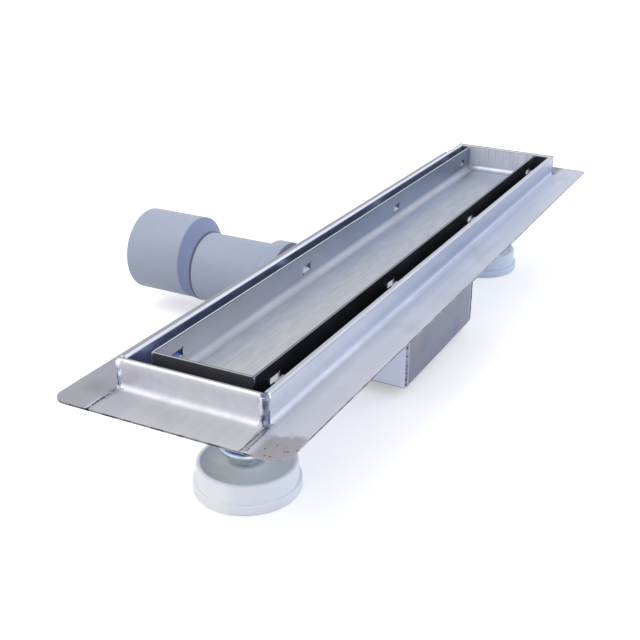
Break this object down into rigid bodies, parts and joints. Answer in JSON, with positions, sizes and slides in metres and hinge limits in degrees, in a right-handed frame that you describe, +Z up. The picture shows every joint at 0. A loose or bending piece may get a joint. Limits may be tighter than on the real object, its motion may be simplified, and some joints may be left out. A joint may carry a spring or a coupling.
{
  "type": "linear shower drain",
  "caption": "Low stainless channel drain with hemmed rims and flanges, a tile tray, a siphon box with side outlet and screw-adjusted feet.",
  "frame": {"origin": "middle of the tray's floor, where the tile is bedded", "axes": "+X along the channel, +Y towards the outlet, +Z up"},
  "size_m": [0.532, 0.2655, 0.0916],
  "materials": {
    "channel_steel": "rolled stainless sheet with ground welds",
    "tray_steel": "brushed stainless sheet",
    "box_steel": "rolled stainless sheet",
    "strainer_steel": "punched stainless sheet",
    "grey_plastic": "moulded grey polypropylene",
    "black_plastic": "moulded black polypropylene",
    "white_plastic": "moulded white polyethylene",
    "zinc_plate": "bright zinc plating",
    "black_rubber": "matt rubber"
  },
  "bodies": {
    "channel": {"channel_body": "channel_steel", "end_plate_front": "channel_steel", "end_plate_rear": "channel_steel", "hair_strainer": "strainer_steel", "insert_seal": "black_rubber", "leg_sleeve_front": "channel_steel", "leg_sleeve_rear": "channel_steel", "outlet_adaptor": "grey_plastic", "outlet_stub": "box_steel", "siphon_box": "box_steel", "stub_seal": "black_rubber", "tile_tray": "tray_steel", "trap_cup": "black_plastic", "trap_insert": "black_plastic", "tray_bridge_front": "channel_steel", "tray_bridge_rear": "channel_steel"},
    "front_leg": {"foot_pad_front": "white_plastic", "foot_stud_front": "zinc_plate", "foot_nut_front": "zinc_plate", "foot_washer_front": "zinc_plate", "lock_nut_front": "zinc_plate"},
    "rear_leg": {"foot_pad_rear": "white_plastic", "foot_stud_rear": "zinc_plate", "foot_nut_rear": "zinc_plate", "foot_washer_rear": "zinc_plate", "lock_nut_rear": "zinc_plate"}
  },
  "joints": [
    {"name": "front_leg_height", "type": "slide", "parent": "channel", "child": "front_leg", "axis": [0, 0, -1], "range_m": [0, 0.015]},
    {"name": "rear_leg_height", "type": "slide", "parent": "channel", "child": "rear_leg", "axis": [0, 0, -1], "range_m": [0, 0.015]}
  ]
}
